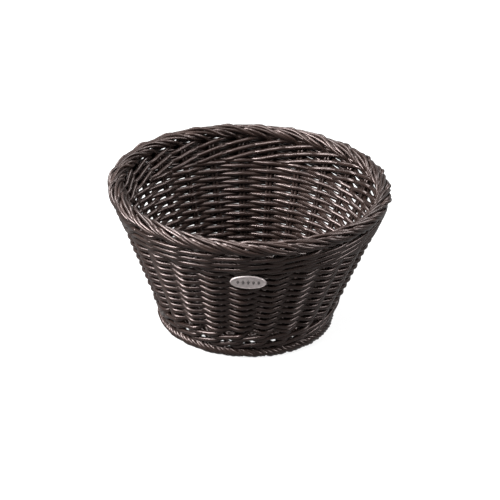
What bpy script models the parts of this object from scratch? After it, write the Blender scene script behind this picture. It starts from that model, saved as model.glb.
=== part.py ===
"""Round woven fruit basket, built from the pieces a basket maker works with.

Twenty-five pairs of upright rods (the stakes) stand in a foot border and lean outward to a rolled rim
border. Three woven bands hold them: a lower wale, the plain-woven body and an upper wale. Each band is a
closed ring with a slot for every stake pair. A woven base closes the bottom, and an oval badge sits on
the wall.

Units are metres and +Z is up. The origin is on the table, under the middle of the basket. The badge
faces -Y.
"""

import math

import bmesh
import bpy
from mathutils import Vector

# ---- driving dimensions ----
HEIGHT = 0.135
RIM_RADIUS = 0.125
RIM_BORDER_WIDTH = 0.0143
RIM_BORDER_HEIGHT = 0.0118

WALL_RADIUS_AT_TABLE = 0.0686
WALL_SLOPE = 0.388

STAKE_PAIRS = 25
ROD_DIAMETER = 0.0032
FIRST_PAIR_ANGLE = math.radians(79.3)
STAKE_LEAN = math.radians(3.5)

FOOT_RADIUS = 0.0800
FOOT_BORDER_WIDTH = 0.0100
FOOT_BORDER_HEIGHT = 0.0100
FOOT_FLAT_WIDTH = 0.0045

BASE_BOTTOM = 0.0140
BASE_THICKNESS = 0.0060
BASE_RADIUS = 0.0682
BASE_CENTRE_RADIUS = 0.0170
STICK_BUNDLE_LENGTH = 0.0300
STICK_BUNDLE_WIDTH = 0.0136

LOWER_WALE_BOTTOM = 0.0135
LOWER_WALE_TOP = 0.0275
LOWER_WALE_ROWS = 2
UPPER_WALE_BOTTOM = 0.1042
UPPER_WALE_TOP = 0.1215
UPPER_WALE_ROWS = 3
WEAVE_DEPTH = 0.0102
WALE_BULGE = 0.0006
LOWER_WALE_EXTRA = 0.0010

BADGE_WIDTH = 0.0306
BADGE_HEIGHT = 0.0155
BADGE_THICKNESS = 0.0014
BADGE_BEVEL = 0.0004
BADGE_CENTRE_X = 0.0015
BADGE_CENTRE_Z = 0.0948

GAP = 0.0003

# ---- mesh resolution ----
ROD_SIDES = 8
RIM_SEGMENTS = 80
FOOT_SEGMENTS = 60
BORDER_SIDES = 12
BASE_SEGMENTS = 60
BADGE_SEGMENTS = 32

# ---- sizes that follow from the ones above ----
PAIR_STEP = 2 * math.pi / STAKE_PAIRS
WALL_ANGLE = math.atan(WALL_SLOPE)
ROD_RADIUS = ROD_DIAMETER / 2
ROD_OFFSET = ROD_RADIUS + GAP / 2
SLOT_HALF_WIDTH = 2 * ROD_RADIUS + 1.5 * GAP
SLOT_HALF_DEPTH = (ROD_RADIUS + 1.2 * GAP) / math.cos(WALL_ANGLE)
ROD_END_DROP = ROD_RADIUS * math.sin(WALL_ANGLE)
BODY_BOTTOM = LOWER_WALE_TOP + GAP
BODY_TOP = UPPER_WALE_BOTTOM - GAP
RIM_CENTRE_RADIUS = RIM_RADIUS - RIM_BORDER_WIDTH / 2
RIM_CENTRE_Z = HEIGHT - RIM_BORDER_HEIGHT / 2
FOOT_CENTRE_RADIUS = FOOT_RADIUS - FOOT_BORDER_WIDTH / 2
ROD_BOTTOM = FOOT_BORDER_HEIGHT + 2 * GAP + ROD_END_DROP
ROD_TOP = HEIGHT - RIM_BORDER_HEIGHT - 2 * GAP - ROD_END_DROP


def clear_scene():
    for obj in list(bpy.data.objects):
        bpy.data.objects.remove(obj)


def make_material(name, colour, roughness, metallic):
    material = bpy.data.materials.new(name)
    material.use_nodes = True
    shader = material.node_tree.nodes["Principled BSDF"]
    shader.inputs["Base Color"].default_value = (*colour, 1.0)
    shader.inputs["Roughness"].default_value = roughness
    shader.inputs["Metallic"].default_value = metallic
    return material


def finish_object(name, mesh_builder, material, sharp_angle=40):
    """Turn a filled bmesh into a scene object with outward faces and smooth round sides."""
    bmesh.ops.recalc_face_normals(mesh_builder, faces=mesh_builder.faces[:])
    mesh = bpy.data.meshes.new(name)
    mesh_builder.to_mesh(mesh)
    mesh_builder.free()
    mesh.shade_smooth()
    mesh.set_sharp_from_angle(angle=math.radians(sharp_angle))
    mesh.materials.append(material)
    obj = bpy.data.objects.new(name, mesh)
    bpy.context.scene.collection.objects.link(obj)
    return obj


def polar(radius, angle, z):
    return Vector((radius * math.cos(angle), radius * math.sin(angle), z))


def outward(angle):
    return Vector((math.cos(angle), math.sin(angle), 0.0))


def sideways(angle):
    return Vector((-math.sin(angle), math.cos(angle), 0.0))


def wall_radius(z):
    """Radius of the stakes' centre line at height z."""
    return WALL_RADIUS_AT_TABLE + WALL_SLOPE * z


def pair_angle(pair):
    return FIRST_PAIR_ANGLE + pair * PAIR_STEP


def stake_point(pair, z):
    """Middle of a stake pair at height z. The pair is straight, and leans a little round the basket."""
    foot = polar(wall_radius(0), pair_angle(pair) - STAKE_LEAN / 2, 0)
    head = polar(wall_radius(HEIGHT), pair_angle(pair) + STAKE_LEAN / 2, HEIGHT)
    return foot.lerp(head, z / HEIGHT)


# ---- stakes ----
def build_rod(name, pair, side, material):
    """One straight round rod of a stake pair, between the foot border and the rim border."""
    start = stake_point(pair, ROD_BOTTOM)
    end = stake_point(pair, ROD_TOP)
    along = (end - start).normalized()
    across = sideways(pair_angle(pair))
    across = (across - along * across.dot(along)).normalized()
    depth = along.cross(across)
    builder = bmesh.new()
    rings = []
    for centre in (start, end):
        ring = []
        for i in range(ROD_SIDES):
            turn = 2 * math.pi * (i + 0.5) / ROD_SIDES
            reach = across * math.cos(turn) + depth * math.sin(turn)
            ring.append(builder.verts.new(centre + across * side * ROD_OFFSET + reach * ROD_RADIUS))
        rings.append(ring)
    for i in range(ROD_SIDES):
        j = (i + 1) % ROD_SIDES
        builder.faces.new((rings[0][i], rings[0][j], rings[1][j], rings[1][i]))
    builder.faces.new(rings[0])
    builder.faces.new(rings[1])
    return finish_object(name, builder, material, sharp_angle=60)


# ---- woven bands ----
def band_columns():
    """Places round the wall where a band has a column of points.

    A stake pair takes the two columns beside its slot, and the gap to the next pair takes one.
    """
    columns = []
    for pair in range(STAKE_PAIRS):
        columns.append((pair, -1))
        columns.append((pair, 1))
        columns.append((pair, 0))
    return columns


def column_frame(column, z):
    """Centre-line point of a column at height z, and the direction out of the wall there."""
    pair, side = column
    if side:
        angle = pair_angle(pair)
        return stake_point(pair, z) + sideways(angle) * side * SLOT_HALF_WIDTH, outward(angle)
    angle = pair_angle(pair) + PAIR_STEP / 2
    lean = STAKE_LEAN * (z / HEIGHT - 0.5)
    return polar(wall_radius(z), angle + lean, z), outward(angle)


def column_wall(builder, column, profile, sign):
    points = []
    for z, reach in profile:
        centre, out = column_frame(column, z)
        points.append(builder.verts.new(centre + out * sign * reach))
    return points


def column_slot(builder, column, levels, sign):
    """Slot corners of a column at the band's lowest and highest level, or nothing beside a gap."""
    if not column[1]:
        return []
    corners = []
    for z in levels:
        centre, out = column_frame(column, z)
        corners.append(builder.verts.new(centre + out * sign * SLOT_HALF_DEPTH))
    return corners


def join_strips(builder, left, right):
    for low in range(len(left) - 1):
        builder.faces.new((left[low], right[low], right[low + 1], left[low + 1]))


def close_beside_gap(builder, slot_column, gap_column, end):
    """Flat end of a band between a slot's side and the column in the gap, as four triangles."""
    outer, inner, slot_outer, slot_inner = (points[end] for points in slot_column)
    gap_outer = gap_column[0][end]
    gap_inner = gap_column[1][end]
    builder.faces.new((outer, gap_outer, slot_outer))
    builder.faces.new((slot_outer, gap_outer, gap_inner))
    builder.faces.new((slot_outer, gap_inner, slot_inner))
    builder.faces.new((slot_inner, gap_inner, inner))


def close_over_slot(builder, left, right, end):
    """Flat end of a band in front of and behind a slot."""
    builder.faces.new((left[0][end], right[0][end], right[2][end], left[2][end]))
    builder.faces.new((left[3][end], right[3][end], right[1][end], left[1][end]))


def line_slot(builder, left, right):
    """The four walls of a slot, front, back and both sides."""
    join_strips(builder, left[2], right[2])
    join_strips(builder, left[3], right[3])
    join_strips(builder, left[2], left[3])
    join_strips(builder, right[2], right[3])


def build_band(name, outer_profile, inner_profile, material):
    """A closed ring of weave with a slot for each stake pair.

    A profile lists heights and reaches from the stakes' centre line, and both start and end level.
    """
    builder = bmesh.new()
    levels = (outer_profile[0][0], outer_profile[-1][0])
    columns = []
    for column in band_columns():
        columns.append(
            (
                column_wall(builder, column, outer_profile, 1),
                column_wall(builder, column, inner_profile, -1),
                column_slot(builder, column, levels, 1),
                column_slot(builder, column, levels, -1),
            )
        )
    for index, left in enumerate(columns):
        right = columns[(index + 1) % len(columns)]
        join_strips(builder, left[0], right[0])
        join_strips(builder, left[1], right[1])
        if left[2] and right[2]:
            line_slot(builder, left, right)
        for end in (0, -1):
            if left[2] and right[2]:
                close_over_slot(builder, left, right, end)
            elif left[2]:
                close_beside_gap(builder, left, right, end)
            else:
                close_beside_gap(builder, right, left, end)
    return finish_object(name, builder, material)


def plain_profile(bottom, top, reach):
    return [(bottom, reach), (top, reach)]


def ribbed_profile(bottom, top, rows, reach):
    """A wall that swells by WALE_BULGE in the middle of each row of strands."""
    profile = []
    row_height = (top - bottom) / rows
    for row in range(rows):
        profile.append((bottom + row * row_height, reach))
        profile.append((bottom + (row + 0.5) * row_height, reach + WALE_BULGE))
    profile.append((top, reach))
    return profile


# ---- borders ----
def build_border(name, centre_radius, centre_z, width, height, segments, flat_width, material):
    """A thick ring round the Z axis. A flat_width above 0 gives it a level underside that wide."""
    builder = bmesh.new()
    rings = []
    for step in range(segments):
        angle = 2 * math.pi * step / segments
        ring = []
        for side in range(BORDER_SIDES):
            turn = 2 * math.pi * side / BORDER_SIDES
            radius = centre_radius + width / 2 * math.cos(turn)
            z = centre_z + height / 2 * math.sin(turn)
            steps_from_bottom = abs(side - 3 * BORDER_SIDES // 4)
            if flat_width and steps_from_bottom <= 1:
                radius = centre_radius + flat_width / 2 * (side - 3 * BORDER_SIDES // 4)
                z = centre_z - height / 2
            ring.append(builder.verts.new(polar(radius, angle, z)))
        rings.append(ring)
    for step in range(segments):
        following = rings[(step + 1) % segments]
        for side in range(BORDER_SIDES):
            after = (side + 1) % BORDER_SIDES
            builder.faces.new((rings[step][side], following[side], following[after], rings[step][after]))
    return finish_object(name, builder, material)


# ---- base ----
def build_base_weave(material):
    """The woven disc between the crossed sticks in the middle and the lower wale."""
    builder = bmesh.new()
    section = [
        (BASE_CENTRE_RADIUS, BASE_BOTTOM),
        (BASE_RADIUS, BASE_BOTTOM),
        (BASE_RADIUS, BASE_BOTTOM + BASE_THICKNESS),
        (BASE_CENTRE_RADIUS, BASE_BOTTOM + BASE_THICKNESS),
    ]
    rings = []
    for step in range(BASE_SEGMENTS):
        angle = 2 * math.pi * step / BASE_SEGMENTS
        rings.append([builder.verts.new(polar(radius, angle, z)) for radius, z in section])
    for step in range(BASE_SEGMENTS):
        following = rings[(step + 1) % BASE_SEGMENTS]
        for corner in range(len(section)):
            after = (corner + 1) % len(section)
            builder.faces.new(
                (rings[step][corner], following[corner], following[after], rings[step][after])
            )
    return finish_object("base_weave", builder, material)


def build_stick_bundle(name, centre_z, turn, material):
    """A flat bundle of base sticks, lying along X or turned to lie along Y."""
    thickness = BASE_THICKNESS / 2 - GAP / 2
    builder = bmesh.new()
    bmesh.ops.create_cube(builder, size=1.0)
    for vert in builder.verts:
        vert.co.x *= STICK_BUNDLE_LENGTH
        vert.co.y *= STICK_BUNDLE_WIDTH
        vert.co.z *= thickness
    long_edges = [e for e in builder.edges if abs(e.verts[0].co.x - e.verts[1].co.x) > GAP]
    bmesh.ops.bevel(
        builder, geom=long_edges, offset=thickness * 0.4, segments=2, profile=0.5, affect="EDGES"
    )
    obj = finish_object(name, builder, material)
    obj.location = (0, 0, centre_z)
    obj.rotation_euler = (0, 0, turn)
    return obj


# ---- badge ----
def build_badge(material):
    """A blank oval plate with a bevelled edge, lying just clear of the outside of the body weave."""
    builder = bmesh.new()
    half = BADGE_THICKNESS / 2
    layers = [
        (-half, 0.0),
        (half - BADGE_BEVEL, 0.0),
        (half, BADGE_BEVEL),
    ]
    rings = []
    for height, inset in layers:
        ring = []
        for step in range(BADGE_SEGMENTS):
            turn = 2 * math.pi * step / BADGE_SEGMENTS
            x = (BADGE_WIDTH / 2 - inset) * math.cos(turn)
            y = (BADGE_HEIGHT / 2 - inset) * math.sin(turn)
            ring.append(builder.verts.new((x, y, height)))
        rings.append(ring)
    for low, high in zip(rings, rings[1:]):
        for step in range(BADGE_SEGMENTS):
            after = (step + 1) % BADGE_SEGMENTS
            builder.faces.new((low[step], low[after], high[after], high[step]))
    builder.faces.new(rings[0])
    builder.faces.new(rings[-1])
    obj = finish_object("badge_plate", builder, material)
    stand_off = GAP + half
    reach = wall_radius(BADGE_CENTRE_Z) + WEAVE_DEPTH / 2
    obj.location = (
        BADGE_CENTRE_X,
        -reach - stand_off * math.cos(WALL_ANGLE),
        BADGE_CENTRE_Z - stand_off * math.sin(WALL_ANGLE),
    )
    obj.rotation_euler = (math.pi / 2 + WALL_ANGLE, 0, 0)
    return obj


def build_basket():
    strand = make_material("dark_strand", (0.045, 0.034, 0.032), 0.42, 0.0)
    badge_metal = make_material("badge_metal", (0.55, 0.52, 0.52), 0.45, 0.8)

    for pair in range(STAKE_PAIRS):
        build_rod(f"stake_{pair + 1:02d}_right", pair, -1, strand)
        build_rod(f"stake_{pair + 1:02d}_left", pair, 1, strand)

    reach = WEAVE_DEPTH / 2
    body = plain_profile(BODY_BOTTOM, BODY_TOP, reach)
    build_band("body_weave", body, body, strand)
    lower = ribbed_profile(
        LOWER_WALE_BOTTOM, LOWER_WALE_TOP, LOWER_WALE_ROWS, reach + LOWER_WALE_EXTRA
    )
    lower_inside = plain_profile(LOWER_WALE_BOTTOM, LOWER_WALE_TOP, reach)
    build_band("lower_wale", lower, lower_inside, strand)
    upper = ribbed_profile(UPPER_WALE_BOTTOM, UPPER_WALE_TOP, UPPER_WALE_ROWS, reach)
    build_band("upper_wale", upper, upper, strand)

    build_border(
        "rim_border",
        RIM_CENTRE_RADIUS,
        RIM_CENTRE_Z,
        RIM_BORDER_WIDTH,
        RIM_BORDER_HEIGHT,
        RIM_SEGMENTS,
        0.0,
        strand,
    )
    build_border(
        "foot_border",
        FOOT_CENTRE_RADIUS,
        FOOT_BORDER_HEIGHT / 2,
        FOOT_BORDER_WIDTH,
        FOOT_BORDER_HEIGHT,
        FOOT_SEGMENTS,
        FOOT_FLAT_WIDTH,
        strand,
    )

    build_base_weave(strand)
    quarter = BASE_THICKNESS / 4
    build_stick_bundle("base_sticks_lower", BASE_BOTTOM + quarter - GAP / 4, 0, strand)
    build_stick_bundle("base_sticks_upper", BASE_BOTTOM + 3 * quarter + GAP / 4, math.pi / 2, strand)
    build_badge(badge_metal)


clear_scene()
build_basket()
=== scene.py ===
"""Looks for the round woven fruit basket: every strand is modelled along its own path through the weave."""

import math

import bmesh
import bpy
import numpy as np
from mathutils import Matrix, Vector


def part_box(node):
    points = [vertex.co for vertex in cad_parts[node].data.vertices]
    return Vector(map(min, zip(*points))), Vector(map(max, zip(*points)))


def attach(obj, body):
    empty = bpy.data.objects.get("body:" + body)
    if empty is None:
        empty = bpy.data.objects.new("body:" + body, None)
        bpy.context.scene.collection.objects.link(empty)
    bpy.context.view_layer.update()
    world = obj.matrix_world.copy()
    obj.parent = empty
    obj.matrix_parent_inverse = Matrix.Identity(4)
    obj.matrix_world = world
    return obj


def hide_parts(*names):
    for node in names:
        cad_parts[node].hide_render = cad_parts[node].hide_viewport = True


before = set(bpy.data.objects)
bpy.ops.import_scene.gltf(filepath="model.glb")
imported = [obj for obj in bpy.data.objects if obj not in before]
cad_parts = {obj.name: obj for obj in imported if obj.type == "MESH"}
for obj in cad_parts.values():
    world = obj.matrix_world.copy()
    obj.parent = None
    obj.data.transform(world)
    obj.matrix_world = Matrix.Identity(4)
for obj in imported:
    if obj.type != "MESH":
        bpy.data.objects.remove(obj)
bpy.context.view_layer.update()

MM = 0.001
STAKE_PAIRS = 25
PAIR_STEP = 2 * math.pi / STAKE_PAIRS
BODY_STRAND_RADIUS = 2.15 * MM
WALE_STRAND_RADIUS = 2.0 * MM
ROD_RADIUS = 1.7 * MM
ROD_SQUEEZE = 0.12 * MM
STRAND_SIDES = 8
UP = np.array([0, 0, 1.0])
random = np.random.default_rng(11)


# ---------------------------------------------------------------- reading the frame
def node_points(name):
    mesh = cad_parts[name].data
    points = np.empty(len(mesh.vertices) * 3)
    mesh.vertices.foreach_get("co", points)
    # Corners that faces share are stored more than once, and count once in a mean.
    return np.unique(points.reshape(-1, 3).round(7), axis=0)


def rod_axis(name):
    """Lower and upper end of a straight rod's centre line."""
    points = node_points(name)
    low = points[:, 2] < points[:, 2].mean()
    return points[low].mean(0), points[~low].mean(0)


def box_levels(name):
    low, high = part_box(name)
    return low.z, high.z


def pair_nodes(pair):
    return f"stake_{pair + 1:02d}_right", f"stake_{pair + 1:02d}_left"


# Lower and upper end of the first stake pair's centre line, and half the distance between its two rods.
ENDS = [np.mean([rod_axis(node)[end] for node in pair_nodes(0)], axis=0) for end in (0, 1)]
ROD_OFFSET = np.linalg.norm(np.subtract(*[rod_axis(node)[0] for node in pair_nodes(0)])) / 2
RIM_LOW, RIM_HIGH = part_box("rim_border")
FOOT_LOW, FOOT_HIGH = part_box("foot_border")
BODY_BOTTOM, BODY_TOP = box_levels("body_weave")
UPPER_BOTTOM, UPPER_TOP = box_levels("upper_wale")
LOWER_BOTTOM, LOWER_TOP = box_levels("lower_wale")
BASE_LOW, BASE_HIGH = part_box("base_weave")


def pair_line(z):
    """Centre line of the first stake pair at height z."""
    share = (np.asarray(z) - ENDS[0][2]) / (ENDS[1][2] - ENDS[0][2])
    return ENDS[0][:2] + np.multiply.outer(share, ENDS[1][:2] - ENDS[0][:2])


def wall_radius(z):
    return np.linalg.norm(pair_line(z), axis=-1)


def wall_angle(z):
    line = pair_line(z)
    return np.arctan2(line[..., 1], line[..., 0])


# How far the wall leans out from upright.
TILT = math.atan((wall_radius(BODY_TOP) - wall_radius(BODY_BOTTOM)) / (BODY_TOP - BODY_BOTTOM))


def wall_point(place, z, reach):
    """Points of the wall and the directions out of it.

    place counts stake pairs round the basket, z is the height on the stakes' centre line, and reach is
    the distance out of the wall from that line.
    """
    angle = wall_angle(z) + place * PAIR_STEP
    radial = np.stack([np.cos(angle), np.sin(angle), np.zeros_like(angle)], -1)
    out = radial * math.cos(TILT) - np.array([0, 0, math.sin(TILT)])
    centre = radial * wall_radius(z)[..., None]
    centre[..., 2] = z
    return centre + out * np.asarray(reach)[..., None], out


# ---------------------------------------------------------------- strands as tubes
def smooth(x):
    x = np.clip(x, 0, 1)
    return x * x * (3 - 2 * x)


def unit(v):
    return v / np.linalg.norm(v, axis=-1, keepdims=True)


def wander(count, size, reach):
    """Soft hand-made unevenness along a strand: smooth noise with a new value every reach points or so."""
    knots = random.normal(0, size, max(4, count // reach + 3))
    at = np.linspace(0, len(knots) - 1, count)
    low = np.clip(at.astype(int), 0, len(knots) - 2)
    return knots[low] + (knots[low + 1] - knots[low]) * smooth(at - low)


# Softened cut of an open strand: steps past its end and the thickness there, as shares of the radius.
CUT_STEPS = np.array([0.18, 0.30])
CUT_SHARES = np.array([0.88, 0.62])
GRAIN_START = 3.0


class Strands:
    """Collects round strands and turns them into one mesh with the data that the cane material reads.

    grain is a place along and across the strand, in metres. tone is one shade from 0 to 1 for each strand.
    """

    def __init__(self):
        self.points = []
        self.faces = []
        self.grain = []
        self.tone = []
        self.count = 0

    def add(self, path, outward, radius, closed=False, tone=None):
        path = np.asarray(path, float)
        outward = np.asarray(outward, float)
        radius = np.broadcast_to(np.asarray(radius, float), len(path)).copy()
        if closed:
            along = unit(np.roll(path, -1, 0) - np.roll(path, 1, 0))
        else:
            along = unit(np.gradient(path, axis=0))
            path, outward, radius, along = self.round_ends(path, outward, radius, along)
        across = unit(np.cross(along, outward))
        depth = np.cross(across, along)
        turn = 2 * math.pi * np.arange(STRAND_SIDES) / STRAND_SIDES
        ring = depth[:, None] * np.cos(turn)[None, :, None] + across[:, None] * np.sin(turn)[None, :, None]
        points = path[:, None] + ring * radius[:, None, None]
        rings, sides = len(path), STRAND_SIDES
        length = np.concatenate([[0], np.cumsum(np.linalg.norm(np.diff(path, axis=0), axis=1))])
        length += random.uniform(0, GRAIN_START)
        grain = np.empty((rings, sides, 3))
        grain[..., 0] = length[:, None]
        grain[..., 1] = radius[:, None] * np.cos(turn)
        grain[..., 2] = radius[:, None] * np.sin(turn)
        index = self.count + np.arange(rings * sides).reshape(rings, sides)
        following = np.roll(index, -1, 0) if closed else index[1:]
        first = index if closed else index[:-1]
        quads = np.stack(
            [first, np.roll(first, -1, 1), np.roll(following, -1, 1), following], -1
        ).reshape(-1, 4)
        self.faces += quads.tolist()
        if not closed:
            self.faces.append(index[0][::-1].tolist())
            self.faces.append(index[-1].tolist())
        self.points.append(points.reshape(-1, 3))
        self.grain.append(grain.reshape(-1, 3))
        self.tone.append(np.full(rings * sides, random.uniform() if tone is None else tone))
        self.count += rings * sides

    def round_ends(self, path, outward, radius, along):
        """Adds a softened cut to both ends of an open strand."""
        head = path[0] - along[0] * (CUT_STEPS * radius[0])[::-1, None]
        tail = path[-1] + along[-1] * (CUT_STEPS * radius[-1])[:, None]
        path = np.concatenate([head, path, tail])
        outward = np.concatenate([outward[[0, 0]], outward, outward[[-1, -1]]])
        along = np.concatenate([along[[0, 0]], along, along[[-1, -1]]])
        radius = np.concatenate([radius[0] * CUT_SHARES[::-1], radius, radius[-1] * CUT_SHARES])
        return path, outward, radius, along

    def build(self, name, material):
        mesh = bpy.data.meshes.new(name)
        mesh.from_pydata(np.concatenate(self.points).tolist(), [], self.faces)
        grain = mesh.attributes.new("grain", "FLOAT_VECTOR", "POINT")
        grain.data.foreach_set("vector", np.concatenate(self.grain).ravel())
        tone = mesh.attributes.new("tone", "FLOAT", "POINT")
        tone.data.foreach_set("value", np.concatenate(self.tone))
        mesh.shade_smooth()
        mesh.materials.append(material)
        obj = bpy.data.objects.new(name, mesh)
        bpy.context.scene.collection.objects.link(obj)
        return obj


def place_piece(piece, slot, *nodes):
    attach(piece, "root")
    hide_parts(*nodes)


# ---------------------------------------------------------------- materials
# Noise steps per metre, first along a strand and then across it.
CANE_STREAKS = (45, 520, 520)
CANE_PATCHES = (90, 90, 90)
CANE_RIDGES = (70, 900, 900)
CANE_DARK = (0.0050, 0.0030, 0.0025)
CANE_LIGHT = (0.0115, 0.0072, 0.0060)
CANE_SHADE_LOW = (0.75, 0.75, 0.75)
CANE_SHADE_HIGH = (1.3, 1.25, 1.22)
CANE_ROUGHNESS = (0.24, 0.34)
CANE_SHEEN_TINT = (1.0, 0.81, 0.78, 1)
BADGE_BRUSHING = (300, 4000, 4000)
BADGE_CLOUDS = 260
BADGE_DARK = (0.20, 0.172, 0.17, 1)
BADGE_LIGHT = (0.31, 0.273, 0.267, 1)
BADGE_LOZENGE = (0.05, 0.043, 0.042, 1)
BADGE_ROUGHNESS = (0.38, 0.6)
BUMP_DEPTH = 0.1 * MM
# Noise values seldom leave this span.
NOISE_LOW, NOISE_HIGH = 0.3, 0.7


def cane_material():
    """Dark brown synthetic cane: fine lengthwise streaks, a satin sheen and a slightly uneven surface."""
    material = bpy.data.materials.new("dark_cane")
    material.use_nodes = True
    tree = material.node_tree
    shader = tree.nodes["Principled BSDF"]
    grain = tree.nodes.new("ShaderNodeAttribute")
    grain.attribute_name = "grain"
    tone = tree.nodes.new("ShaderNodeAttribute")
    tone.attribute_name = "tone"

    def stretched(scale):
        mapping = tree.nodes.new("ShaderNodeMapping")
        mapping.inputs["Scale"].default_value = scale
        tree.links.new(grain.outputs["Vector"], mapping.inputs["Vector"])
        return mapping.outputs["Vector"]

    def noise(scale):
        node = tree.nodes.new("ShaderNodeTexNoise")
        node.inputs["Scale"].default_value = 1.0
        node.inputs["Detail"].default_value = 2
        tree.links.new(stretched(scale), node.inputs["Vector"])
        return node.outputs["Fac"]

    def ramp(value, low, high, start, end):
        node = tree.nodes.new("ShaderNodeValToRGB")
        node.color_ramp.elements[0].position = start
        node.color_ramp.elements[0].color = (*low, 1)
        node.color_ramp.elements[1].position = end
        node.color_ramp.elements[1].color = (*high, 1)
        tree.links.new(value, node.inputs["Fac"])
        return node.outputs["Color"]

    colour = ramp(noise(CANE_STREAKS), CANE_DARK, CANE_LIGHT, NOISE_LOW, NOISE_HIGH)
    shade = ramp(tone.outputs["Fac"], CANE_SHADE_LOW, CANE_SHADE_HIGH, 0, 1)
    mix = tree.nodes.new("ShaderNodeMix")
    mix.data_type = "RGBA"
    mix.blend_type = "MULTIPLY"
    mix.inputs["Factor"].default_value = 1.0
    tree.links.new(colour, mix.inputs["A"])
    tree.links.new(shade, mix.inputs["B"])
    tree.links.new(mix.outputs["Result"], shader.inputs["Base Color"])

    rough = tree.nodes.new("ShaderNodeMapRange")
    rough.inputs["From Min"].default_value = NOISE_LOW
    rough.inputs["From Max"].default_value = NOISE_HIGH
    rough.inputs["To Min"].default_value = CANE_ROUGHNESS[0]
    rough.inputs["To Max"].default_value = CANE_ROUGHNESS[1]
    tree.links.new(noise(CANE_PATCHES), rough.inputs["Value"])
    tree.links.new(rough.outputs["Result"], shader.inputs["Roughness"])

    bump = tree.nodes.new("ShaderNodeBump")
    bump.inputs["Strength"].default_value = 0.04
    bump.inputs["Distance"].default_value = BUMP_DEPTH
    tree.links.new(noise(CANE_RIDGES), bump.inputs["Height"])
    tree.links.new(bump.outputs["Normal"], shader.inputs["Normal"])
    shader.inputs["IOR"].default_value = 1.5
    shader.inputs["Specular IOR Level"].default_value = 0.30
    shader.inputs["Specular Tint"].default_value = CANE_SHEEN_TINT
    return material


def badge_material():
    """Light grey satin metal with a fine brushed texture and slightly cloudy wear."""
    material = bpy.data.materials.new("badge_metal")
    material.use_nodes = True
    tree = material.node_tree
    shader = tree.nodes["Principled BSDF"]
    place = tree.nodes.new("ShaderNodeTexCoord")
    mapping = tree.nodes.new("ShaderNodeMapping")
    mapping.inputs["Scale"].default_value = BADGE_BRUSHING
    tree.links.new(place.outputs["Object"], mapping.inputs["Vector"])
    brushed = tree.nodes.new("ShaderNodeTexNoise")
    brushed.inputs["Scale"].default_value = 1.0
    brushed.inputs["Detail"].default_value = 3
    tree.links.new(mapping.outputs["Vector"], brushed.inputs["Vector"])
    cloud = tree.nodes.new("ShaderNodeTexNoise")
    cloud.inputs["Scale"].default_value = BADGE_CLOUDS
    cloud.inputs["Detail"].default_value = 2
    tree.links.new(place.outputs["Object"], cloud.inputs["Vector"])
    colour = tree.nodes.new("ShaderNodeValToRGB")
    colour.color_ramp.elements[0].position = NOISE_LOW
    colour.color_ramp.elements[0].color = BADGE_DARK
    colour.color_ramp.elements[1].position = NOISE_HIGH
    colour.color_ramp.elements[1].color = BADGE_LIGHT
    tree.links.new(cloud.outputs["Fac"], colour.inputs["Fac"])
    inlay = tree.nodes.new("ShaderNodeAttribute")
    inlay.attribute_name = "inlay"
    darken = tree.nodes.new("ShaderNodeMix")
    darken.data_type = "RGBA"
    darken.inputs["B"].default_value = BADGE_LOZENGE
    tree.links.new(inlay.outputs["Fac"], darken.inputs["Factor"])
    tree.links.new(colour.outputs["Color"], darken.inputs["A"])
    tree.links.new(darken.outputs["Result"], shader.inputs["Base Color"])
    rough = tree.nodes.new("ShaderNodeMapRange")
    rough.inputs["To Min"].default_value = BADGE_ROUGHNESS[0]
    rough.inputs["To Max"].default_value = BADGE_ROUGHNESS[1]
    tree.links.new(brushed.outputs["Fac"], rough.inputs["Value"])
    tree.links.new(rough.outputs["Result"], shader.inputs["Roughness"])
    bump = tree.nodes.new("ShaderNodeBump")
    bump.inputs["Strength"].default_value = 0.2
    bump.inputs["Distance"].default_value = BUMP_DEPTH
    tree.links.new(brushed.outputs["Fac"], bump.inputs["Height"])
    tree.links.new(bump.outputs["Normal"], shader.inputs["Normal"])
    shader.inputs["Metallic"].default_value = 0.35
    return material


# ---------------------------------------------------------------- stakes
ROD_START = FOOT_HIGH.z * 0.55
ROD_END = UPPER_TOP - 3 * MM
ROD_SAMPLES = 40
ROD_PLAY = 0.08 * MM
ROD_PLAY_REACH = 8


def build_stakes(material):
    """Twin rods of each stake pair, from inside the foot border to inside the upper wale."""
    heights = np.linspace(ROD_START, ROD_END, ROD_SAMPLES)
    for pair in range(STAKE_PAIRS):
        strands = Strands()
        for side in (-1, 1):
            points, out = wall_point(np.full(ROD_SAMPLES, float(pair)), heights, np.zeros(ROD_SAMPLES))
            across = unit(np.cross(UP, out))
            shift = side * (ROD_OFFSET - ROD_SQUEEZE) + wander(ROD_SAMPLES, ROD_PLAY, ROD_PLAY_REACH)
            points = points + across * shift[:, None]
            strands.add(points, out, ROD_RADIUS)
        piece = strands.build(f"stake_rods_{pair + 1:02d}", material)
        place_piece(piece, "woven_strand", *pair_nodes(pair))


# ---------------------------------------------------------------- body weave
ROW_PITCH = 3.49 * MM
BODY_SAMPLES = 14
BODY_PRESS = 0.35 * MM
BODY_REACH = ROD_RADIUS + BODY_STRAND_RADIUS - BODY_PRESS
BODY_REACH_PLAY = 0.05
BODY_EXTRA_TOP = 1.6 * MM
BODY_LAG = 0.065
BODY_LEVEL_TURNS = 0.8
ROW_PLAY = 0.10 * MM
# The place where the body weave and both wales start and end.
SEAM_PLACE = 9.0
ZIGZAG_FLAT = 0.08
ZIGZAG_CORNER = 0.08
ZIGZAG_STEPS = 5


def rounded_zigzag(place):
    """Wave from 1 over even pairs to -1 over odd ones: straight between them, with rounded corners."""
    wave = np.zeros_like(place)
    for shift in np.linspace(-ZIGZAG_CORNER, ZIGZAG_CORNER, ZIGZAG_STEPS):
        share = np.abs((place + shift + 1) % 2 - 1)
        wave += np.clip((0.5 - share) / (0.5 - ZIGZAG_FLAT), -1, 1)
    return wave / ZIGZAG_STEPS


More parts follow.
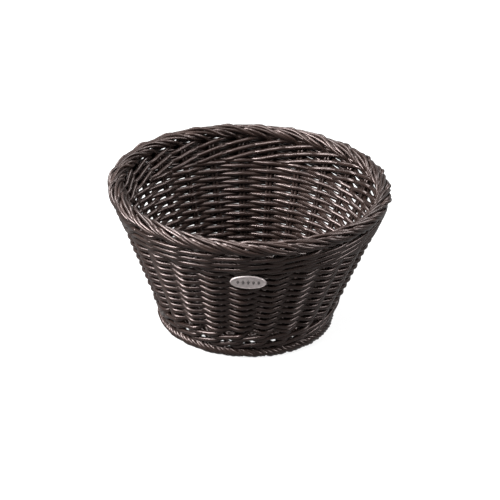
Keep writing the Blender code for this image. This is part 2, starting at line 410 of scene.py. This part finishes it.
def build_body(material):
    """One long strand that climbs the wall in front of one pair and behind the next."""
    low = BODY_BOTTOM + BODY_STRAND_RADIUS
    high = BODY_TOP - BODY_STRAND_RADIUS + BODY_EXTRA_TOP
    # The strand runs level for part of a turn at both ends, so that no step is left open at the wales.
    turns = (high - low) / ROW_PITCH + 2 * BODY_LEVEL_TURNS
    count = int(turns * STAKE_PAIRS * BODY_SAMPLES)
    place = SEAM_PLACE + np.linspace(-BODY_LEVEL_TURNS, turns - BODY_LEVEL_TURNS, count) * STAKE_PAIRS
    z = np.clip(low + ROW_PITCH * (place - SEAM_PLACE) / STAKE_PAIRS, low, high)
    play = 1 + wander(count, BODY_REACH_PLAY, BODY_SAMPLES)
    reach = BODY_REACH * rounded_zigzag(place - BODY_LAG) * play
    z = z + wander(count, ROW_PLAY, BODY_SAMPLES)
    points, out = wall_point(place, z, reach)
    strands = Strands()
    strands.add(points, out, BODY_STRAND_RADIUS, tone=0.5)
    piece = strands.build("body_weaver", material)
    place_piece(piece, "woven_strand", "body_weave")


# ---------------------------------------------------------------- wales
WALE_RODS = 3
WALE_SAMPLES = 14
WALE_LEAD = 1.2
WALE_OVERLAP = 0.5 * MM
UPPER_WALE_EXTRA_TOP = 1.8 * MM
LOWER_WALE_EXTRA_BOTTOM = 1.9 * MM
LOWER_WALE_EXTRA_TOP = 0.4 * MM
LOWER_WALE_EXTRA_OUT = 0.3 * MM
UPPER_WALE_ROUNDS = 3
LOWER_WALE_ROUNDS = 2
WALE_PRESS = 0.05 * MM
WALE_REACH = ROD_RADIUS + WALE_STRAND_RADIUS - WALE_PRESS
WALE_REACH_PLAY = 0.04
WALE_TONES = (0.3, 0.7)
# Height of a rod at each half step of its three-pair round, as shares of the pitch.
WALE_RISE = np.array([-0.45, -0.27, 0.0, 0.27, 0.45, 0.0])
# A rod lies behind the stakes at this phase. It stays there for the hold on each side, then eases out.
WALE_INSIDE_PHASE = 2.5
WALE_INSIDE_HOLD = 0.24
WALE_INSIDE_EASE = 0.76


def periodic(values, at):
    """Smooth periodic curve through values spaced half a stake step apart."""
    values = np.asarray(values)
    at = np.asarray(at) * 2
    low = np.floor(at).astype(int)
    t = at - low
    before, start, end, after = (values[(low + k) % len(values)] for k in (-1, 0, 1, 2))
    slope_start, slope_end = (end - before) / 2, (after - start) / 2
    return (
        start * (2 * t**3 - 3 * t**2 + 1)
        + slope_start * (t**3 - 2 * t**2 + t)
        + end * (3 * t**2 - 2 * t**3)
        + slope_end * (t**3 - t**2)
    )


def build_wale(name, bottom, top, rounds, extra, material):
    """Rounds of a three-rod wale: each rod passes in front of two pairs, then behind one."""
    pitch = (top - bottom) / rounds
    steps = rounds * STAKE_PAIRS
    count = steps * WALE_SAMPLES
    for rod in range(WALE_RODS):
        # Each rod starts a little early at the bottom, to close the step at the seam.
        travel = np.linspace(-WALE_LEAD, steps, count, endpoint=False)
        step_up = smooth(travel % STAKE_PAIRS - (STAKE_PAIRS - 1))
        z = bottom + pitch * (0.5 + travel // STAKE_PAIRS + step_up)
        z = np.where(travel > steps - 1, z - pitch * step_up, z)
        z = np.where(travel < 0, bottom + pitch * 0.5, z)
        phase = (travel - rod) % WALE_RODS
        z = z + periodic(pitch * WALE_RISE, phase) + wander(count, ROW_PLAY, WALE_SAMPLES)
        reach = wale_reach(phase, extra) * (1 + wander(count, WALE_REACH_PLAY, WALE_SAMPLES))
        points, out = wall_point(SEAM_PLACE + 0.5 + travel, z, reach)
        strands = Strands()
        strands.add(points, out, WALE_STRAND_RADIUS, tone=random.uniform(*WALE_TONES))
        piece = strands.build(f"{name}_rod_{rod + 1}", material)
        place_piece(piece, "woven_strand", name)


def wale_reach(phase, extra):
    """Distance of a rod out of the wall: past the stakes in front of two pairs, and behind the third."""
    inside = np.zeros_like(phase)
    for centre in (WALE_INSIDE_PHASE, WALE_INSIDE_PHASE - WALE_RODS):
        away = np.abs(phase - centre) - WALE_INSIDE_HOLD
        inside = np.maximum(inside, smooth(1 - away / WALE_INSIDE_EASE))
    outside = WALE_REACH + extra + WALE_OVERLAP * smooth(phase - 0.5)
    return outside * (1 - inside) - WALE_REACH * inside


# ---------------------------------------------------------------- borders
# All angles of a border's section are in degrees: 0 faces out, 90 up and 180 in.
SECOND_EASE = 60.0
SECTION_PLAY_REACH = 5
SECTION_LIFT_PLAY = 0.1 * MM
ARC_CENTRE = 100.0
ARC_WIDTH = 28.0
# Mean of the arc's bulge over a full turn, so that the arc speeds a strand up without moving its end.
ARC_MEAN = 0.138
# Peaks of the strands' height above the rope's mean skin: height in mm, centre and width in degrees.
RIM_FIRST_TURN = [(1.0, 45, 26), (-2.3, 98, 24), (0.6, 145, 20)]
RIM_SECOND_TURN = [(1.1, 102, 30), (-0.6, 72, 14), (-1.6, -5, 40)]
FOOT_BOTH_TURNS = [(0.25, 30, 60)]
FOOT_FIRST_TURN = [(-0.5, 120, 60)]
LEAD_SAMPLES = 10
LEAD_SMOOTH_REACH = 4.0
LEAD_SMOOTH_ROUNDS = 20


def bulge(section, centre, width):
    """Soft peak of height 1 at the centre angle."""
    away = (section - centre + 180) % 360 - 180
    return np.exp(-((away / width) ** 2))


def bulges(section, peaks):
    return sum(height * bulge(section, centre, width) for height, centre, width in peaks)


def rim_layer(section, second):
    """Height of a rim strand above the rope's mean skin, in metres.

    On its first turn a strand tucks under the top and comes out again on the outer shoulder. On its
    second turn it lies over the top as a long arc.
    """
    first = bulges(section, RIM_FIRST_TURN)
    return MM * (first * (1 - second) + bulges(section, RIM_SECOND_TURN) * second)


def foot_layer(section, second):
    """Height of a foot strand above the rope's mean skin, in metres."""
    return MM * (bulges(section, FOOT_BOTH_TURNS) + bulges(section, FOOT_FIRST_TURN) * (1 - second))


def build_border(name, node, low, high, spec, layer, material):
    """A rolled border. The two ends of each stake pair wind round the ring side by side.

    Angles in spec are in degrees, and lengths in metres. turns is how many degrees of section a strand
    passes for one degree round the basket, and twin is how far apart a pair's strands are in the section.
    """
    pair_step = math.degrees(PAIR_STEP)
    first_angle = math.degrees(float(wall_angle((low.z + high.z) / 2)))
    ring_radius = high.x - spec["width"] / 2
    ring_z = (low.z + high.z) / 2
    half_width = spec["width"] / 2 - spec["radius"] - spec["inset"]
    half_height = (high.z - low.z) / 2 - spec["radius"] - spec["inset"]
    for pair in range(STAKE_PAIRS):
        strands = Strands()
        for side in (-1, 1):
            height = spec["twist"] * side + random.normal(0, spec["uneven"])
            end = spec["end"] + random.uniform(-1, 1) * spec["end_spread"]
            section = np.arange(spec["start"], end, -spec["step"])
            second = smooth((spec["second_from"] - section) / SECOND_EASE)
            arc = spec["arc"] * second * (bulge(section, ARC_CENTRE, ARC_WIDTH) - ARC_MEAN)
            speed = 1 / spec["turns"] * (1 + arc)
            advance = np.concatenate([[0], np.cumsum((speed[1:] + speed[:-1]) / 2 * spec["step"])])
            advance = advance + pair_step / 2 * second
            theta = np.radians(first_angle + pair * pair_step + advance - side * spec["spread"])
            turned = section - spec["twin"] * side * 0.5
            turned = turned + wander(len(section), spec["play"], SECTION_PLAY_REACH)
            phi = np.radians(turned)
            lift = height + layer(turned % 360, second)
            lift = lift + wander(len(section), SECTION_LIFT_PLAY, SECTION_PLAY_REACH)
            radial = np.stack([np.cos(theta), np.sin(theta), np.zeros_like(theta)], -1)
            out = radial * np.cos(phi)[:, None] + UP * np.sin(phi)[:, None]
            points = (
                radial * (ring_radius + half_width * np.cos(phi))[:, None]
                + UP * (ring_z + half_height * np.sin(phi))[:, None]
                + out * lift[:, None]
            )
            points, out = lead_in(points, out, pair, side, spec)
            strands.add(points, out, spec["radius"])
        piece = strands.build(f"{name}_strands_{pair + 1:02d}", material)
        place_piece(piece, "woven_strand", node)


def lead_in(points, out, pair, side, spec):
    """Runs the stake rod's own line into the start of its border strand."""
    levels = np.linspace(spec["lead_from"], spec["lead_to"], LEAD_SAMPLES)
    place = np.full(LEAD_SAMPLES, float(pair))
    line, line_out = wall_point(place, levels, np.zeros(LEAD_SAMPLES))
    across = unit(np.cross(UP, line_out))
    line = line + across * side * ROD_OFFSET
    joined = np.concatenate([line, points])
    joined_out = np.concatenate([line_out, out])
    # Corner-rounding: repeated averaging near the joint, with the far ends held.
    away = np.arange(len(joined)) - len(line) + 0.5
    weight = np.exp(-((away / LEAD_SMOOTH_REACH) ** 2))[:, None]
    for _ in range(LEAD_SMOOTH_ROUNDS):
        mean = joined.copy()
        mean[1:-1] = (joined[:-2] + joined[2:]) / 2
        joined = joined + (mean - joined) * weight
        mean = joined_out.copy()
        mean[1:-1] = (joined_out[:-2] + joined_out[2:]) / 2
        joined_out = joined_out + (mean - joined_out) * weight
    return joined, unit(joined_out)


RIM = {
    "width": 14.3 * MM,
    "radius": 1.5 * MM,
    "inset": 0.4 * MM,
    "twist": 0.45 * MM,
    "uneven": 0.25 * MM,
    "start": 235.0,
    "end": -430.0,
    "end_spread": 25.0,
    "step": 8.0,
    "turns": 25 / 3,
    "twin": 29.0,
    "spread": 0.0,
    "second_from": -60.0,
    "arc": 1.6,
    "play": 1.5,
    "lead_from": UPPER_TOP - 3.5 * MM,
    "lead_to": UPPER_TOP + 1.0 * MM,
}
FOOT = {
    "width": 10.0 * MM,
    "radius": 1.75 * MM,
    "inset": 0.5 * MM,
    "twist": 0.1 * MM,
    "uneven": 0.12 * MM,
    "start": 120.0,
    "end": -450.0,
    "end_spread": 18.0,
    "step": 10.0,
    "turns": 100 / 7,
    "twin": 76.0,
    "spread": 0.94,
    "second_from": -210.0,
    "arc": 0.0,
    "play": 1.5,
    "lead_from": LOWER_BOTTOM + 2 * MM,
    "lead_to": FOOT_HIGH.z + 0.5 * MM,
}


# ---------------------------------------------------------------- base
BASE_STRAND_RADIUS = 1.15 * MM
BASE_PITCH = 2.9 * MM
BASE_PACKING = 0.82
BASE_LIFT = 2 * BASE_STRAND_RADIUS * 0.95
BASE_EDGE_GAP = 4.6 * MM
BASE_INNER_SHARE = 0.9
BASE_SAMPLES = 10
INNER_SPOKES = 16
OUTER_SPOKES = 32
# Radius at which the spokes double, and how far inside it the extra ones start.
OPENED_AT = 36 * MM
SPOKE_TUCK = 6 * MM
SPOKE_START_SHARE = 0.8
SPOKE_PAST_EDGE = 1.5 * MM
SPOKE_SAMPLES = 24
STICK_SAMPLES = 16
STICK_FILL = 0.97


def build_base(material):
    """Woven disc: rings of strand over and under the spokes, which fan out from the crossed sticks."""
    middle = (BASE_LOW.z + BASE_HIGH.z) / 2
    outer = float(wall_radius(middle)) - BASE_EDGE_GAP
    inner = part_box("base_sticks_lower")[1].x * BASE_INNER_SHARE
    build_base_weave(middle, inner, outer, material)
    build_spokes(middle, inner, outer, material)
    build_crossed_sticks("base_sticks_lower", True, material)
    build_crossed_sticks("base_sticks_upper", False, material)


def build_base_weave(middle, inner, outer, material):
    weave = Strands()
    ring = inner
    row = 0
    while ring < outer:
        spokes = INNER_SPOKES if ring < OPENED_AT else OUTER_SPOKES
        count = spokes * BASE_SAMPLES
        angle = 2 * math.pi * np.arange(count) / count
        wave = np.cos(angle * spokes / 2 + math.pi * (row % 2))
        height = middle + wave * BASE_LIFT
        points = np.stack([ring * np.cos(angle), ring * np.sin(angle), height], -1)
        weave.add(points, np.tile(UP, (count, 1)), BASE_STRAND_RADIUS, closed=True)
        ring += BASE_PITCH * BASE_PACKING
        row += 1
    piece = weave.build("base_weaver", material)
    place_piece(piece, "woven_strand", "base_weave")


def build_spokes(middle, inner, outer, material):
    spokes = Strands()
    level = np.full(SPOKE_SAMPLES, middle)
    for index in range(OUTER_SPOKES):
        angle = 2 * math.pi * index / OUTER_SPOKES
        start = inner * SPOKE_START_SHARE if index % 2 == 0 else OPENED_AT - SPOKE_TUCK
        reach = np.linspace(start, outer + SPOKE_PAST_EDGE, SPOKE_SAMPLES)
        points = np.stack([reach * math.cos(angle), reach * math.sin(angle), level], -1)
        spokes.add(points, np.tile(UP, (SPOKE_SAMPLES, 1)), BASE_STRAND_RADIUS)
    piece = spokes.build("base_spokes", material)
    place_piece(piece, "woven_strand", "base_weave")


def build_crossed_sticks(name, along_x, material):
    low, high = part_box(name)
    size = high - low
    length, width = (size.x, size.y) if along_x else (size.y, size.x)
    radius = size.z / 2
    number = round(width / (2 * radius))
    run = np.linspace(-length / 2, length / 2, STICK_SAMPLES)
    level = np.full(STICK_SAMPLES, (low.z + high.z) / 2)
    sticks = Strands()
    for stick in range(number):
        flat = np.full(STICK_SAMPLES, (stick + 0.5) * width / number - width / 2)
        points = np.stack([run, flat, level] if along_x else [flat, run, level], -1)
        sticks.add(points, np.tile(UP, (STICK_SAMPLES, 1)), radius * STICK_FILL)
    piece = sticks.build(name.replace("base_", "crossed_"), material)
    place_piece(piece, "woven_strand", name)


# ---------------------------------------------------------------- badge
BADGE_THICKNESS = 1.4 * MM
BADGE_SEGMENTS = 72
# Rings from the back edge, over the rim, to the middle of the face: share of the radius, then height as a
# share of the thickness.
BADGE_RINGS = [
    (0.97, -0.50), (1.00, -0.25), (1.00, 0.20), (0.975, 0.50), (0.95, 0.62), (0.92, 0.62),
    (0.895, 0.50), (0.87, 0.32), (0.80, 0.30), (0.60, 0.30), (0.40, 0.30), (0.20, 0.30),
]
BADGE_BORDER_SHARE = 0.8
BADGE_FACE = 0.30 * BADGE_THICKNESS
LOZENGES = 5
LOZENGE_STEP = 4.4 * MM
LOZENGE_HALF_WIDTH = 1.35 * MM
LOZENGE_HALF_HEIGHT = 3.4 * MM
LOZENGE_TAPER = 0.5 * MM
LOZENGE_RISE = 0.8 * MM
LOZENGE_SINK = 0.1 * MM
LOZENGE_TOP_SHARES = (0.7, 0.8)


def build_badge(material):
    """Oval metal plate with a rolled edge, a raised border and a row of plain lozenges."""
    low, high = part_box("badge_plate")
    centre = (low + high) / 2
    half_width = (high.x - low.x) / 2
    half_height = (high.z - low.z) / 2 / math.cos(TILT)
    builder = bmesh.new()
    inlay = builder.verts.layers.float.new("inlay")
    loops = []
    for share, height in BADGE_RINGS:
        # The border keeps one width all round, and the face inside it narrows in proportion.
        inset = (1 - share) * half_height
        in_border = share > BADGE_BORDER_SHARE
        wide = half_width - inset if in_border else half_width * share
        tall = half_height - inset if in_border else half_height * share
        loop = []
        for step in range(BADGE_SEGMENTS):
            turn = 2 * math.pi * step / BADGE_SEGMENTS
            place = (wide * math.cos(turn), tall * math.sin(turn), height * BADGE_THICKNESS)
            loop.append(builder.verts.new(place))
        loops.append(loop)
    close_tube(builder, loops)
    for number in range(LOZENGES):
        away = number - LOZENGES // 2
        lozenge_tall = LOZENGE_HALF_HEIGHT - LOZENGE_TAPER * abs(away)
        for vertex in add_lozenge(builder, away * LOZENGE_STEP, lozenge_tall):
            vertex[inlay] = 1.0
    mesh = bpy.data.meshes.new("badge_plate_oval")
    bmesh.ops.recalc_face_normals(builder, faces=builder.faces[:])
    builder.to_mesh(mesh)
    builder.free()
    mesh.shade_smooth()
    mesh.materials.append(material)
    piece = bpy.data.objects.new("badge_plate_oval", mesh)
    bpy.context.scene.collection.objects.link(piece)
    piece.matrix_world = Matrix.Translation(centre) @ Matrix.Rotation(math.pi / 2 + TILT, 4, "X")
    place_piece(piece, "badge_metal", "badge_plate")


def close_tube(builder, loops):
    """Joins equal loops of corners in turn and closes both ends."""
    for below, above in zip(loops, loops[1:]):
        for step in range(len(below)):
            after = (step + 1) % len(below)
            builder.faces.new((below[step], below[after], above[after], above[step]))
    builder.faces.new(loops[-1])
    builder.faces.new(list(reversed(loops[0])))


def add_lozenge(builder, x, tall):
    """Adds a plain raised lozenge to the middle of the badge's face and returns its corners."""
    top_wide, top_tall = LOZENGE_TOP_SHARES
    outline = [(LOZENGE_HALF_WIDTH, 0), (0, tall), (-LOZENGE_HALF_WIDTH, 0), (0, -tall)]
    sunk = BADGE_FACE - LOZENGE_SINK
    raised = BADGE_FACE + LOZENGE_RISE
    bottom = [builder.verts.new((x + px, py, sunk)) for px, py in outline]
    top = [builder.verts.new((x + px * top_wide, py * top_tall, raised)) for px, py in outline]
    close_tube(builder, [bottom, top])
    return bottom + top


# ---------------------------------------------------------------- surroundings
FLOOR_HALF_SIZE = 30.0
FLOOR_COLOUR = (0.1, 0.1, 0.1, 1)
FLOOR_GLOW = 0.85
WORLD_STRENGTH = 0.48
LIGHT_AIM = Vector((0, 0, 0.08))
# Name, place in metres, size in metres and power in watts.
LIGHTS = [
    ("left", (-1.06, -0.26, 0.86), (0.42, 0.55), 76),
    ("back_left", (-0.60, 0.60, 1.05), (0.5, 0.5), 24),
    ("overhead", (0.0, 0.08, 1.42), (0.8, 0.4), 19),
    ("front_left", (-0.50, -0.70, 1.16), (0.38, 0.38), 34),
    ("right", (1.0, -0.25, 0.80), (0.5, 0.5), 15),
    ("back_right", (0.75, 0.62, 0.95), (0.5, 0.5), 12),
]


def build_floor():
    """Plain pale floor. Its own even glow keeps it pale without lighting up the gaps of the weave."""
    mesh = bpy.data.meshes.new("floor")
    corners = [(-1, -1), (1, -1), (1, 1), (-1, 1)]
    points = [(x * FLOOR_HALF_SIZE, y * FLOOR_HALF_SIZE, 0) for x, y in corners]
    mesh.from_pydata(points, [], [(0, 1, 2, 3)])
    material = bpy.data.materials.new("pale_floor")
    material.use_nodes = True
    shader = material.node_tree.nodes["Principled BSDF"]
    shader.inputs["Base Color"].default_value = FLOOR_COLOUR
    shader.inputs["Roughness"].default_value = 0.9
    shader.inputs["Specular IOR Level"].default_value = 0.1
    shader.inputs["Emission Color"].default_value = (1, 1, 1, 1)
    shader.inputs["Emission Strength"].default_value = FLOOR_GLOW
    mesh.materials.append(material)
    floor = bpy.data.objects.new("floor", mesh)
    bpy.context.scene.collection.objects.link(floor)
    # The floor glows, so its reflection in the glossy cane would wash out the dark strands.
    floor.visible_glossy = False


def add_area_light(name, place, size, power):
    data = bpy.data.lights.new(name, "AREA")
    data.shape = "RECTANGLE"
    data.size, data.size_y = size
    data.energy = power
    light = bpy.data.objects.new(name, data)
    light.location = place
    light.rotation_euler = (LIGHT_AIM - Vector(place)).to_track_quat("-Z", "Y").to_euler()
    bpy.context.scene.collection.objects.link(light)


def build_lights():
    world = bpy.data.worlds.new("studio")
    world.use_nodes = True
    background = world.node_tree.nodes["Background"]
    background.inputs["Color"].default_value = (1, 1, 1, 1)
    background.inputs["Strength"].default_value = WORLD_STRENGTH
    bpy.context.scene.world = world
    for light in LIGHTS:
        add_area_light(*light)


# ---------------------------------------------------------------- camera
CAMERA_ELEVATION = math.radians(27.9)
CAMERA_DISTANCE = 1.773
CAMERA_LENS = 142.7
CAMERA_SENSOR = 36
CAMERA_CLIP_START = 0.05
CAMERA_ROLL = math.radians(2.1)
CAMERA_SLIDE = (2.0 * MM, 5.4 * MM)
CAMERA_TARGET = Vector((0, 0, 60 * MM))


def build_camera():
    data = bpy.data.cameras.new("camera")
    data.lens = CAMERA_LENS
    data.sensor_width = CAMERA_SENSOR
    data.clip_start = CAMERA_CLIP_START
    camera = bpy.data.objects.new("camera", data)
    bpy.context.scene.collection.objects.link(camera)
    turn = Matrix.Rotation(math.pi / 2 - CAMERA_ELEVATION, 4, "X")
    slide = turn @ Vector((CAMERA_SLIDE[0], CAMERA_SLIDE[1], CAMERA_DISTANCE))
    turn = turn @ Matrix.Rotation(CAMERA_ROLL, 4, "Z")
    camera.matrix_world = Matrix.Translation(CAMERA_TARGET + slide) @ turn
    bpy.context.scene.camera = camera
    bpy.context.scene.view_settings.view_transform = "Standard"


# ---------------------------------------------------------------- the basket
cane = cane_material()
build_stakes(cane)
build_body(cane)
upper_wale_levels = (UPPER_BOTTOM, UPPER_TOP + UPPER_WALE_EXTRA_TOP)
build_wale("upper_wale", *upper_wale_levels, UPPER_WALE_ROUNDS, 0.0, cane)
lower_wale_levels = (LOWER_BOTTOM - LOWER_WALE_EXTRA_BOTTOM, LOWER_TOP + LOWER_WALE_EXTRA_TOP)
build_wale("lower_wale", *lower_wale_levels, LOWER_WALE_ROUNDS, LOWER_WALE_EXTRA_OUT, cane)
build_border("rim", "rim_border", RIM_LOW, RIM_HIGH, RIM, rim_layer, cane)
build_border("foot", "foot_border", FOOT_LOW, FOOT_HIGH, FOOT, foot_layer, cane)
build_base(cane)
build_badge(badge_material())
build_floor()
build_lights()
build_camera()
